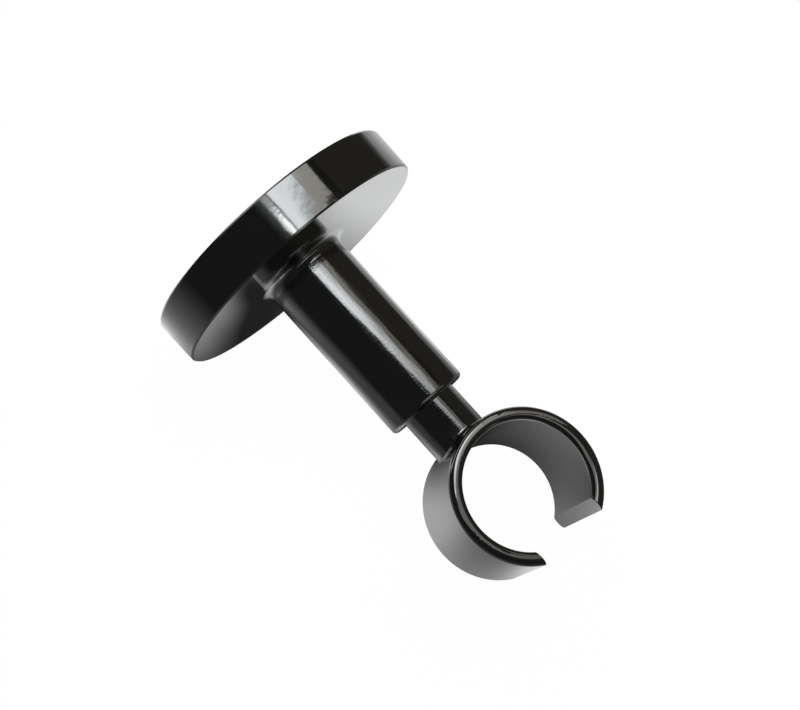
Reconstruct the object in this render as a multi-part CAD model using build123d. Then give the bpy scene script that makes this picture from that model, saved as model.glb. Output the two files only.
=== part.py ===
from build123d import *
from math import radians, tan
import os

# Curtain pole bracket: a round rose and sleeve cast as one piece, an open cup cast on a rod that slides in
# the sleeve, a hidden wall plate, and two grub screws: one locks the rose to the plate, one the rod.
# Millimetres. Each piece is drawn standing on its wall face, with height along Z, then hung on the wall:
# the wall is the XZ plane, the rod runs along -Y, the pole along X, and +Z is up.

# Pole and cup
pole_diameter = 28.0
pole_clearance = 0.5
cup_wall = 3.1
cup_width = 27.5
cup_mouth = 17.7
cup_rim_round = 1.4
cup_mouth_round = 0.2

# Rod
rod_diameter = 14.0
rod_show = 9.9
rod_travel_out = 20.0
rod_grip = 14.0
rod_root_fillet = 0.8
rod_tip_chamfer = 0.6

# Sleeve
sleeve_length = 43.2
sleeve_wall = 3.2
sleeve_end_round = 1.2
rod_clearance = 0.05

# Rose
rose_diameter = 66.5
rose_height = 10.8
rose_draft_deg = 1.3
rose_edge_break = 0.4
rose_rim = 3.0
rose_roof = 3.0
sleeve_root_fillet = 2.5

# Wall plate
plate_clearance = 0.3
plate_headroom = 1.3
plate_groove_depth = 1.5
screw_spacing = 36.0
screw_hole_diameter = 4.5
screw_head_diameter = 9.0

# Grub screws
grub_diameter = 4.0
grub_clearance = 0.05
grub_end_chamfer = 0.3
grub_key = 2.0
grub_socket_depth = 1.5
grub_tip_diameter = 0.6
grub_sunk = 0.25
grub_setback = 9.0

# Sizes that follow from those above
bore_radius = pole_diameter / 2 + pole_clearance
cup_radius = bore_radius + cup_wall
rod_radius = rod_diameter / 2
sleeve_bore_radius = rod_radius + rod_clearance
sleeve_radius = sleeve_bore_radius + sleeve_wall
sleeve_end = rose_height + sleeve_length
cup_centre = sleeve_end + rod_show + cup_radius
rod_end = sleeve_end - rod_travel_out - rod_grip
rose_radius = rose_diameter / 2
rose_lean = tan(radians(rose_draft_deg))
rose_face_radius = rose_radius - rose_height * rose_lean
recess_radius = rose_radius - rose_rim
recess_depth = rose_height - rose_roof
plate_radius = recess_radius - plate_clearance
plate_thickness = recess_depth - plate_headroom
groove_height = plate_thickness / 2
groove_radius = plate_radius - plate_groove_depth
screw_hole_radius = screw_hole_diameter / 2
grub_radius = grub_diameter / 2
grub_hole_radius = grub_radius + grub_clearance
rose_grub_tip = groove_radius + grub_tip_diameter / 2 + grub_clearance
rose_grub_end = rose_radius - groove_height * rose_lean - grub_sunk
rod_grub_end = sleeve_radius - grub_sunk
rod_grub_height = sleeve_end - grub_setback

hang_on_wall = Rotation(90, 0, 0)
lie_along_pole = Rotation(0, 90, 0)
point_down = Rotation(90, 0, 0)
from_base = (Align.CENTER, Align.CENTER, Align.MIN)


def turned(outline, rounds=()):
    """A solid turned about Z from (radius, height) points; rounds pairs a corner with its radius."""
    with BuildPart() as piece:
        with BuildSketch(Plane.XZ) as section:
            with BuildLine():
                Polyline(*outline, close=True)
            make_face()
            for corner, radius in rounds:
                fillet(section.vertices().sort_by_distance(corner)[0], radius)
        revolve(axis=Axis.Z)
    return piece.part


def hole_below(height, radius, depth):
    """A round cutter from the axis to the underside, at a height above the wall face."""
    return Pos(0, 0, height) * point_down * Cylinder(radius, depth, align=from_base)


def make_rose_sleeve():
    """The casting that shows on the wall: a dished rose with the sleeve standing on it."""
    root = (sleeve_radius, rose_height)
    end = (sleeve_radius, sleeve_end)
    outside = turned(
        [
            (0, 0),
            (rose_radius - rose_edge_break / 2, 0),
            (rose_radius, rose_edge_break),
            (rose_face_radius, rose_height - rose_edge_break),
            (rose_face_radius - rose_edge_break, rose_height),
            root,
            end,
            (0, sleeve_end),
        ],
        [(root, sleeve_root_fillet), (end, sleeve_end_round)],
    )
    recess = Cylinder(recess_radius, recess_depth, align=from_base)
    rod_bore = Cylinder(sleeve_bore_radius, sleeve_end, align=from_base)
    rose_tapping = hole_below(groove_height, grub_hole_radius, rose_radius)
    sleeve_tapping = hole_below(rod_grub_height, grub_hole_radius, sleeve_radius)
    return outside - recess - rod_bore - rose_tapping - sleeve_tapping


def make_cup_rod():
    """The open cup with rounded rims, cast on the rod that slides in the sleeve."""
    half = cup_width / 2
    rims = [(bore_radius, -half), (cup_radius, -half), (cup_radius, half), (bore_radius, half)]
    at_pole = Pos(0, 0, cup_centre)
    ring = at_pole * lie_along_pole * turned(rims, [(rim, cup_rim_round) for rim in rims])
    rod = turned([
        (0, rod_end),
        (rod_radius - rod_tip_chamfer, rod_end),
        (rod_radius, rod_end + rod_tip_chamfer),
        (rod_radius, cup_centre),
        (0, cup_centre),
    ])
    pole = at_pole * lie_along_pole * Cylinder(bore_radius, cup_width)
    stem = rod - pole
    joined = ring + stem
    root = new_edges(ring, stem, combined=joined).sort_by(Axis.Z).first
    cast = fillet(root, rod_root_fillet)
    mouth = at_pole * Box(2 * cup_width, cup_mouth, 2 * cup_radius, align=from_base)
    open_cup = cast - mouth
    cut_faces = open_cup.faces().filter_by(Axis.Y)
    return fillet(cut_faces.edges(), cup_mouth_round)


def make_wall_plate():
    """The disc that is screwed to the wall, with the vee groove that the rose's grub screw bites into."""
    low = groove_height - plate_groove_depth
    high = groove_height + plate_groove_depth
    disc = turned([
        (0, 0),
        (plate_radius, 0),
        (plate_radius, low),
        (groove_radius, groove_height),
        (plate_radius, high),
        (plate_radius, plate_thickness),
        (0, plate_thickness),
    ])
    head_radius = screw_head_diameter / 2
    sink_depth = head_radius - screw_hole_radius
    sink = plate_thickness - sink_depth
    screw_cut = turned([
        (0, 0),
        (screw_hole_radius, 0),
        (screw_hole_radius, sink),
        (head_radius, plate_thickness),
        (0, plate_thickness),
    ])
    for side in (-1, 1):
        disc -= Pos(0, side * screw_spacing / 2, 0) * screw_cut
    return disc


def make_grub_screw(tip_radius, length):
    """A socket grub screw standing on its point, which is a right-angled cone cut off at the tip."""
    point = grub_radius - tip_radius
    body = turned([
        (0, 0),
        (tip_radius, 0),
        (grub_radius, point),
        (grub_radius, length - grub_end_chamfer),
        (grub_radius - grub_end_chamfer, length),
        (0, length),
    ])
    key_hole = extrude(RegularPolygon(grub_key / 2, 6, major_radius=False), grub_socket_depth)
    return body - Pos(0, 0, length - grub_socket_depth) * key_hole


def make_rose_grub_screw():
    """The cone-pointed screw through the rose's rim, seated in the wall plate's groove."""
    screw = make_grub_screw(grub_tip_diameter / 2, rose_grub_end - rose_grub_tip)
    return Pos(0, -rose_grub_tip, groove_height) * point_down * screw


def make_rod_grub_screw():
    """The flat-pointed screw through the sleeve, against the rod."""
    screw = make_grub_screw(grub_radius - grub_end_chamfer, rod_grub_end - sleeve_bore_radius)
    return Pos(0, -sleeve_bore_radius, rod_grub_height) * point_down * screw


pieces = {
    "rose_sleeve": make_rose_sleeve(),
    "cup_rod": make_cup_rod(),
    "wall_plate": make_wall_plate(),
    "rose_grub_screw": make_rose_grub_screw(),
    "rod_grub_screw": make_rod_grub_screw(),
}

os.makedirs("parts", exist_ok=True)
for name, piece in pieces.items():
    export_step(hang_on_wall * piece, f"parts/{name}.step")
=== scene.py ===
import math

import bmesh
import bpy
from mathutils import Matrix, Vector


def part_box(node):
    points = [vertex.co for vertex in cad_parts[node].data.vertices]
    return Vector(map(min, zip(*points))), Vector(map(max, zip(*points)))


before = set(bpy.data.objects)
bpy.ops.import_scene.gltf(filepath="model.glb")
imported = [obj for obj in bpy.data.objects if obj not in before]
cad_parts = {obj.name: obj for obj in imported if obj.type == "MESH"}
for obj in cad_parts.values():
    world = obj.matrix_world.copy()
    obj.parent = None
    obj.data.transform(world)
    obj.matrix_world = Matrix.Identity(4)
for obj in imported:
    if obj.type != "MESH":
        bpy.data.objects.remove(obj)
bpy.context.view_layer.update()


def grey(level, tint=(1.0, 1.0, 1.0)):
    """A colour that is grey or nearly so."""
    return tuple(level * part for part in tint) + (1.0,)


white = grey(1.0)
black = grey(0.0)

# Metres, in the part's frame: the wall is the XZ plane, the rod runs along -Y, the pole along X.
# A pair named for an edge is where that edge starts to fade in and where it is full.
rose_height = 0.0108
recess_radius = 0.03025
recess_depth = 0.0078
grub_pitch = 0.0007

# Plate: dull in the rose's recess, wavy on its rim, streaked on the sleeve and the rod.
recess_blur = 0.0004
recess_wall_edge = (recess_radius + recess_blur, recess_radius - recess_blur)
recess_roof_edge = (-recess_depth - 0.5 * recess_blur, -recess_depth + recess_blur)
rim_inner_edge = (0.0319, 0.0325)
rim_back_edge = (-0.0004, -0.0010)
tube_outer_edge = (0.0125, 0.0105)
tube_end_edge = (-0.0645, -0.0630)
streak_stretch = (900.0, 120.0, 900.0)
nickel_dark = grey(0.34, (0.99, 1.0, 1.0))
nickel_pale = grey(0.38, (1.0, 1.0, 0.985))
nickel_dull = grey(0.22)
nickel_rough = 0.05
smear_rough = 0.05
recess_rough = 0.3
smear_height = 0.04
wave_height = 0.4
streak_height = 1.3
fine_height = 0.5
plate_relief = 0.00003

# Zinc: mottled, with the marks of the metal's flow.
flow_stretch = (70.0, 70.0, 150.0)
flow_edge = (0.35, 0.68)
zinc_dark = grey(0.42, (0.98, 1.0, 1.02))
zinc_pale = grey(0.62, (0.99, 1.0, 1.0))
zinc_rough = 0.32
mottle_rough = 0.14
flow_rough = 0.12
zinc_relief = 0.0001

# Screws: black with a trace of blue, and the depth that the turns of the thread have.
oxide_dark = grey(0.035)
oxide_pale = grey(0.075, (1.0, 1.0, 1.06))
oxide_rough = 0.32
grain_rough = 0.16
thread_relief = 0.0002

# The camera stands over the table that the bracket lies on, and is rolled as the photograph is.
camera_place = Vector((0.28024, -0.06313, 0.09773))
camera_aim = Vector((0.0, -0.04100, -0.00298))
camera_roll = math.radians(130.7)
camera_lens = 58.67
camera_sensor = 36.0
camera_nearest = 0.01

# The table is the floor here: the bracket lies on the rose's edge and on the cup's mouth.
# Its glow to the metal is painted: pools of painted light, and painted shadow of the bracket where the
# level is below 0.
# Each has its place from the rose's edge, along the bracket and across it, then its radius and its level.
table_reach = 0.6
table_gap = 0.0002
table_white = 0.985
table_dim = 0.024
table_board = grey(0.8)
table_daylight = grey(1.0, (0.985, 1.0, 0.995))
pool_falloff = 3.0
painted_table_pools = [
    (0.021, 0.035, 0.025, 1.50),
    (0.025, -0.011, 0.017, 1.30),
    (0.062, -0.018, 0.013, 0.70),
    (0.087, 0.000, 0.017, 0.27),
    (0.096, -0.006, 0.007, 0.60),
    (-0.110, 0.064, 0.084, 1.50),
    (-0.030, -0.027, 0.021, 1.50),
    (0.022, 0.010, 0.038, -1.15),
    (0.009, -0.023, 0.006, 0.25),
    (-0.004, -0.023, 0.016, -0.45),
    (0.013, -0.005, 0.006, -0.30),
    (-0.070, 0.190, 0.035, 0.24),
    (0.009, -0.012, 0.0045, 0.08),
    (0.005, -0.010, 0.004, -0.06),
]
lamp_lean = Vector((0.1, 0.2, 1.0))
lamp_throw = 0.5
lamp_size = 0.55
lamp_power = 4.5

# The window over the table is part of a drum round the rod's line, so angles are from +X towards +Z.
drum_steps = 24
window_radius = 0.6
window_ends = (math.radians(-42), math.radians(20))
window_side = (-0.08, 0.40)
window_head = math.radians(10)
window_bar = math.radians(-12)
window_sill = math.radians(-24.5)
window_foot = math.radians(-33)
bar_edge = (window_bar - 0.03, window_bar + 0.03)
head_edge = (window_head + 0.03, window_head - 0.03)
foot_edge = (window_foot - 0.03, window_foot + 0.02)
slant_edge = (0.07, -0.07)
bright_side_edge = (-0.05, 0.07)
head_slant = 2.12
foot_slant = 0.3
sill_level = 0.22
warm_light = grey(1.0, (1.0, 0.97, 0.89))
cool_light = grey(1.0, (0.87, 0.91, 1.0))
clear_light = grey(1.0, (0.95, 0.98, 1.0))

# The sleeve and the rod show the window's near end. Past the turn in Y is its far end, for the rose's rim:
# there the bar leans, the lower pane reaches further down and a transom crosses below the head.
window_turn = 0.078
far_edge = (-0.012, -0.002)
bar_slant = 9.0
bar_run = 0.026
pane_drop = 0.16
pane_drop_edge = (-0.002, 0.008)
transom = (math.radians(3.3), math.radians(4.6))
transom_blur = 0.012
transom_shade = 0.75
above_gain = 0.6
above_loss = 1.3
above_loss_edge = (0.009, 0.016)

# These pairs are the values at the near end and at the far end.
pane_level = (0.5, 0.62)
pane_start = (window_sill - 0.05, window_sill - 0.01)
pane_full = (window_sill + 0.04, window_sill + 0.02)
bright_level = (1.0, 0.3)
bright_gain = (0.4, 0.9)
bright_start = (window_bar, window_bar + 0.05)
bright_full = (window_head, window_head - 0.195)
clear_full = (window_bar + 0.08, window_bar + 0.19)

# A faint fringe of light goes with the window and reaches a little above its head.
fringe_least = 0.02
fringe_level = 0.1
fringe_head_edge = (window_head + 0.14, window_head)
fringe_foot_edge = (0.0, -0.1)
fringe_side_edge = (0.0, 0.1)

# A small warm card stands close to the cup, on a drum of its own, and shows in the cup's rim. It glows: a
# soft light that only the metal shows.
# Towards the rod its foot drops at a step, its top climbs and it gets brighter.
card_radius = 0.06
card_ends = (math.radians(-50), math.radians(40))
card_side = (-0.106, -0.062)
card_step_edge = (-0.080, -0.078)
card_drop = 0.52
card_climb_edge = (-0.1024, -0.0654)
card_climb = 0.567
card_foot_edge = (-0.28, -0.18)
card_top_edge = (0.10, 0.0)
card_far_edge = (-0.104, -0.094)
card_near_edge = (-0.062, -0.074)
card_bright_edge = (-0.080, -0.066)
card_tint = (1.0, 0.945, 0.90)
card_plain = grey(0.3, card_tint)
card_bright = grey(0.39, card_tint)

# The room, by direction: white behind the table and past the wall, less so before the cup, else dark.
room_table_edge = (-0.3, -0.75)
room_wall_edge = (0.86, 0.97)
room_cup_edge = (-0.93, -0.985)
room_cup_top_edge = (0.0, -0.2)
room_cup_level = 0.6
room_dark_edge = (-0.5, 0.3)
room_low = grey(0.034, (1.08, 1.0, 0.8))
room_high = grey(0.020, (0.98, 1.0, 1.04))

# A Mix node has sockets of the same names for each type, so those for colours go by number.
mix_first = 6
mix_second = 7
mix_result = 2


class Value:
    """A shader socket that can stand in Python arithmetic with numbers and other sockets."""

    def __init__(self, sheet, socket):
        self.sheet = sheet
        self.socket = socket

    def out(self, name):
        """Another output of the same node."""
        return Value(self.sheet, self.socket.node.outputs[name])

    def math(self, operation, *others):
        return self.sheet.math(operation, self, *others)

    def __add__(self, other):
        return self.math("ADD", other)

    def __radd__(self, other):
        return self.sheet.math("ADD", other, self)

    def __sub__(self, other):
        return self.math("SUBTRACT", other)

    def __rsub__(self, other):
        return self.sheet.math("SUBTRACT", other, self)

    def __mul__(self, other):
        return self.math("MULTIPLY", other)

    def __rmul__(self, other):
        return self.sheet.math("MULTIPLY", other, self)

    def __truediv__(self, other):
        return self.math("DIVIDE", other)

    def __rtruediv__(self, other):
        return self.sheet.math("DIVIDE", other, self)

    def __pow__(self, other):
        return self.math("POWER", other)

    def fade(self, start, end):
        """0 at start and beyond it, 1 at end and beyond it, with a soft step between."""
        limits = {"Value": self, "From Min": start, "From Max": end}
        return self.sheet.node("MapRange", {"interpolation_type": "SMOOTHSTEP"}, limits)

    def choose(self, low, high):
        """The first number where this value is 0, the second where it is 1."""
        return low + (high - low) * self


class Sheet:
    """The node sheet of one material or world."""

    def __init__(self, owner):
        owner.use_nodes = True
        self.owner = owner
        self.tree = owner.node_tree
        self.tree.nodes.clear()

    def node(self, kind, settings=None, sockets=None):
        """Adds a node, sets it up, fills its sockets and gives its first output."""
        made = self.tree.nodes.new("ShaderNode" + kind)
        for name, setting in (settings or {}).items():
            setattr(made, name, setting)
        for name, filling in (sockets or {}).items():
            if isinstance(filling, Value):
                self.tree.links.new(filling.socket, made.inputs[name])
            else:
                made.inputs[name].default_value = filling
        return Value(self, made.outputs[0]) if made.outputs else None

    def math(self, operation, *terms):
        return self.node("Math", {"operation": operation}, dict(enumerate(terms)))

    def point(self):
        """Object coordinates."""
        return self.node("TexCoord").out("Object")

    def split(self, point):
        """X, Y and Z of a point."""
        x = self.node("SeparateXYZ", None, {0: point})
        return x, x.out("Y"), x.out("Z")

    def round_rod(self):
        """The angle round the rod's line, from +X towards +Z, and Y."""
        x, y, z = self.split(self.point())
        return z.math("ARCTAN2", x), y

    def rays(self):
        """1 for what the camera sees itself, and 1 for what metal or glass shows it."""
        ray = self.node("LightPath")
        return ray.out("Is Camera Ray"), ray.out("Is Glossy Ray") + ray.out("Is Transmission Ray")

    def noise(self, point, scale, detail, roughness=0.5):
        sockets = {"Vector": point, "Scale": scale, "Detail": detail, "Roughness": roughness}
        return self.node("TexNoise", None, sockets)

    def stretched(self, point, scale):
        return self.node("Mapping", None, {"Vector": point, "Scale": scale})

    def between(self, first, second, amount):
        """A colour between two others."""
        sockets = {"Factor": amount, mix_first: first, mix_second: second}
        return self.node("Mix", {"data_type": "RGBA"}, sockets).out(mix_result)

    def over(self, first, second, amount):
        """A surface between two others."""
        return self.node("MixShader", None, {0: amount, 1: first, 2: second})

    def glow(self, colour):
        return self.node("Emission", None, {"Color": colour, "Strength": 1.0})

    def metal(self, colour, rough, bump, strength, depth):
        """Closes a metal finish."""
        relief = {"Height": bump, "Strength": strength, "Distance": depth}
        normal = self.node("Bump", None, relief)
        sockets = {"Metallic": 1.0, "Base Color": colour, "Roughness": rough, "Normal": normal}
        return self.close(self.node("BsdfPrincipled", None, sockets))

    def close(self, surface):
        """Ends a material's sheet and gives the material."""
        self.node("OutputMaterial", None, {"Surface": surface})
        return self.owner


def black_nickel():
    """Polished black nickel plate, left duller where the rose is hollow behind."""
    sheet = Sheet(bpy.data.materials.new("black nickel plate"))
    point = sheet.point()
    x, y, z = sheet.split(point)
    radius = (x * x + z * z) ** 0.5
    hollow = radius.fade(*recess_wall_edge) * y.fade(*recess_roof_edge)
    on_rim = radius.fade(*rim_inner_edge) * y.fade(*rim_back_edge)
    on_tube = radius.fade(*tube_outer_edge) * y.fade(*tube_end_edge)
    cloud = sheet.noise(point, scale=55.0, detail=3.0)
    smear = sheet.noise(point, scale=420.0, detail=4.0, roughness=0.6)
    wave = sheet.noise(point, scale=480.0, detail=1.5)
    streak = sheet.noise(sheet.stretched(point, streak_stretch), scale=1.0, detail=2.0)
    fine = sheet.noise(point, scale=2500.0, detail=2.0)
    bright = sheet.between(nickel_dark, nickel_pale, cloud)
    colour = sheet.between(bright, nickel_dull, hollow)
    rough = nickel_rough + smear_rough * smear * cloud + recess_rough * hollow
    drawn = on_tube * (streak_height * streak + fine_height * fine)
    ripple = wave_height * on_rim * wave + drawn + smear_height * smear
    return sheet.metal(colour, rough, ripple, strength=1.0, depth=plate_relief)


def zinc_casting():
    """Plain die-cast zinc, matt and lightly mottled."""
    sheet = Sheet(bpy.data.materials.new("zinc casting"))
    point = sheet.point()
    mottle = sheet.noise(point, scale=160.0, detail=5.0, roughness=0.65)
    grain = sheet.noise(point, scale=2600.0, detail=3.0, roughness=0.6)
    flow = sheet.noise(sheet.stretched(point, flow_stretch), scale=1.0, detail=4.0).fade(*flow_edge)
    colour = sheet.between(zinc_dark, zinc_pale, 0.5 * (flow + mottle))
    rough = zinc_rough + mottle_rough * mottle + flow_rough * flow
    return sheet.metal(colour, rough, grain + mottle, strength=0.25, depth=zinc_relief)


def black_oxide():
    """Black oxide on steel, with the turns of the thread."""
    sheet = Sheet(bpy.data.materials.new("black oxide steel"))
    point = sheet.point()
    height = sheet.split(point)[2]
    grain = sheet.noise(point, scale=3000.0, detail=3.0)
    thread = (height * (2 * math.pi / grub_pitch)).math("SINE")
    colour = sheet.between(oxide_dark, oxide_pale, grain)
    rough = oxide_rough + grain_rough * grain
    return sheet.metal(colour, rough, thread, strength=0.6, depth=thread_relief)


def add_object(name, data):
    holder = bpy.data.objects.new(name, data)
    bpy.context.scene.collection.objects.link(holder)
    return holder


def new_object(name, mesh_maker, material):
    """A piece made in a bmesh, with its place in its mesh."""
    shape = bmesh.new()
    mesh_maker(shape)
    mesh = bpy.data.meshes.new(name)
    shape.to_mesh(mesh)
    shape.free()
    mesh.materials.append(material)
    return add_object(name, mesh)


def table_frame():
    """Where the table lies: through the rose's edge and the cup's mouth, facing the bracket."""
    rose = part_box("rose_sleeve")[0]
    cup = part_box("cup_rod")[0]
    rose_edge = Vector((rose.x, -rose_height, 0.0))
    along = (Vector((cup.x, cup.y, 0.0)) - rose_edge).normalized()
    facing = along.cross(Vector((0.0, 0.0, -1.0)))
    turn = Matrix((along, facing.cross(along), facing)).transposed().to_4x4()
    return Matrix.Translation(rose_edge - facing * table_gap) @ turn


def table_finish():
    """Pale board: white to the camera with a trace of the shadow. To the metal it glows with painted pools
    of daylight and painted shadow.
    """
    sheet = Sheet(bpy.data.materials.new("pale table"))
    point = sheet.point()
    place = table_frame()
    pools = table_dim
    for along, across, radius, level in painted_table_pools:
        middle = place @ Vector((along, across, 0.0))
        away = sheet.node("VectorMath", {"operation": "DISTANCE"}, {0: point, 1: middle}).out("Value")
        pools = pools + level / (1.0 + (away / radius) ** pool_falloff)
    # The level of the painted light and shadow that the metal sees, never below the dim level.
    pale = pools.math("MAXIMUM", table_dim)
    camera, mirrored = sheet.rays()
    daylight = sheet.between(black, table_daylight, pale)
    light = sheet.glow(sheet.between(daylight, white, camera))
    board = sheet.node("BsdfDiffuse", None, {"Color": table_board})
    seen = sheet.over(board, light, camera * table_white + mirrored)
    behind = sheet.node("NewGeometry").out("Backfacing")
    return sheet.close(sheet.over(seen, sheet.node("BsdfTransparent"), behind))


def make_table():
    place = table_frame()

    def board(shape):
        bmesh.ops.create_grid(shape, x_segments=1, y_segments=1, size=table_reach, matrix=place)

    return new_object("table", board, table_finish())


def transom_glow(angle, past_turn, far):
    """Darker on the transom. Above it, brighter near the turn and darker further on."""
    low, high = transom
    on_transom = angle.fade(low - transom_blur, low) * angle.fade(high + transom_blur, high) * far
    above = angle.fade(low, high) * far
    gain = above_gain - above_loss * past_turn.fade(*above_loss_edge)
    return (1.0 - transom_shade * on_transom) * (1.0 + above * gain)


def fringe_light(angle, y, far):
    """The faint light over the window and just above its head, but not low down at the far end."""
    by_head = angle.fade(*fringe_head_edge) * (1.0 - far * angle.fade(*fringe_foot_edge))
    return fringe_least + fringe_level * by_head * y.fade(*fringe_side_edge)


def window_finish():
    """Daylight through a window: a bright cool pane above the bar, a warm one below it, then the sill."""
    sheet = Sheet(bpy.data.materials.new("window light"))
    angle, y = sheet.round_rod()
    past_turn = y - window_turn
    far = past_turn.fade(*far_edge)
    leaning = angle + bar_slant * past_turn.math("MAXIMUM", 0.0).math("MINIMUM", bar_run)
    lower = angle + foot_slant * y
    pane_foot = lower + pane_drop * past_turn.fade(*pane_drop_edge)

    above_bar = leaning.fade(*bar_edge)
    below_head = (angle - head_slant * y).fade(*slant_edge) * angle.fade(*head_edge)
    sill = sill_level * lower.fade(*foot_edge) * (1.0 - far)
    lower_pane = far.choose(*pane_level) * pane_foot.fade(far.choose(*pane_start), far.choose(*pane_full))
    climb = leaning.fade(far.choose(*bright_start), far.choose(*bright_full))
    bright = far.choose(*bright_level) + far.choose(*bright_gain) * climb
    upper_pane = above_bar * y.fade(*bright_side_edge) * bright
    panes = below_head * transom_glow(angle, past_turn, far) * (sill + lower_pane + upper_pane)

    clear = leaning.fade(far.choose(*bright_start), far.choose(*clear_full))
    by_bar = sheet.between(warm_light, cool_light, above_bar)
    colour = sheet.between(by_bar, clear_light, clear)
    level = fringe_light(angle, y, far) + panes
    daylight = sheet.node("VectorMath", {"operation": "SCALE"}, {0: colour, "Scale": level})
    return sheet.close(sheet.glow(daylight))


def card_glow():
    """Warm glowing card with soft edges, taller and brighter towards the rod: a soft light that only the
    metal shows.
    """
    sheet = Sheet(bpy.data.materials.new("warm card"))
    angle, y = sheet.round_rod()
    foot = angle + card_drop * y.fade(*card_step_edge)
    top = angle - card_climb * y.fade(*card_climb_edge)
    sides = y.fade(*card_far_edge) * y.fade(*card_near_edge)
    shape = foot.fade(*card_foot_edge) * top.fade(*card_top_edge) * sides
    light = sheet.glow(sheet.between(card_plain, card_bright, y.fade(*card_bright_edge)))
    return sheet.close(sheet.over(sheet.node("BsdfTransparent"), light, shape))


def make_drum(name, radius, turn, sides, material):
    """Part of a drum round the rod's line, which the metal shows and the camera doesn't see."""
    start = Matrix.Rotation(-turn[1], 4, "Y")

    def drum(shape):
        ends = [shape.verts.new(start @ Vector((radius, side, 0.0))) for side in sides]
        strip = shape.edges.new(ends)
        sweep = turn[1] - turn[0]
        geometry = ends + [strip]
        bmesh.ops.spin(shape, geom=geometry, cent=(0, 0, 0), axis=(0, 1, 0), angle=sweep, steps=drum_steps)

    piece = new_object(name, drum, material)
    piece.visible_camera = False
    return piece


def make_lamp():
    """The light that the window throws on the table. The metal shows the window itself instead."""
    lamp = bpy.data.lights.new("window throw", "AREA")
    lamp.shape = "DISK"
    lamp.size = lamp_size
    lamp.energy = lamp_power
    holder = add_object("window throw", lamp)
    table = table_frame()
    from_window = (table.to_3x3() @ lamp_lean).normalized()
    holder.location = table.translation + from_window * lamp_throw
    holder.rotation_mode = "QUATERNION"
    holder.rotation_quaternion = from_window.to_track_quat("Z", "Y")
    holder.visible_glossy = False
    holder.visible_camera = False
    return holder


def make_room():
    """White all round to the camera. The metal shows that at both ends and a dark room along its sides."""
    world = bpy.data.worlds.new("room")
    bpy.context.scene.world = world
    sheet = Sheet(world)
    x, y, z = sheet.split(sheet.node("TexCoord").out("Generated"))
    behind_table = x.fade(*room_table_edge)
    past_wall = y.fade(*room_wall_edge)
    before_cup = room_cup_level * y.fade(*room_cup_edge) * z.fade(*room_cup_top_edge)
    camera, mirrored = sheet.rays()
    dark = sheet.between(room_low, room_high, z.fade(*room_dark_edge))
    lit = camera + mirrored * (behind_table + past_wall + before_cup)
    colour = sheet.between(dark, white, lit)
    sky = sheet.node("Background", None, {"Color": colour, "Strength": 1.0})
    sheet.node("OutputWorld", None, {"Surface": sky})


def make_camera():
    camera = bpy.data.cameras.new("camera")
    camera.lens = camera_lens
    camera.sensor_fit = "HORIZONTAL"
    camera.sensor_width = camera_sensor
    camera.clip_start = camera_nearest
    holder = add_object("camera", camera)
    level = (camera_aim - camera_place).to_track_quat("-Z", "Y").to_matrix().to_4x4()
    roll = Matrix.Rotation(-camera_roll, 4, "Z")
    holder.matrix_world = Matrix.Translation(camera_place) @ level @ roll
    bpy.context.scene.camera = holder


def dress(material, *nodes):
    """Puts a finish on CAD nodes."""
    for name in nodes:
        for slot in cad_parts[name].material_slots:
            slot.material = material


dress(black_nickel(), "rose_sleeve", "cup_rod")
dress(zinc_casting(), "wall_plate")
dress(black_oxide(), "rose_grub_screw", "rod_grub_screw")

window = make_drum("window", window_radius, window_ends, window_side, window_finish())
card = make_drum("card", card_radius, card_ends, card_side, card_glow())
make_table()
make_lamp()
make_room()
make_camera()
bpy.context.scene.view_settings.view_transform = "Standard"
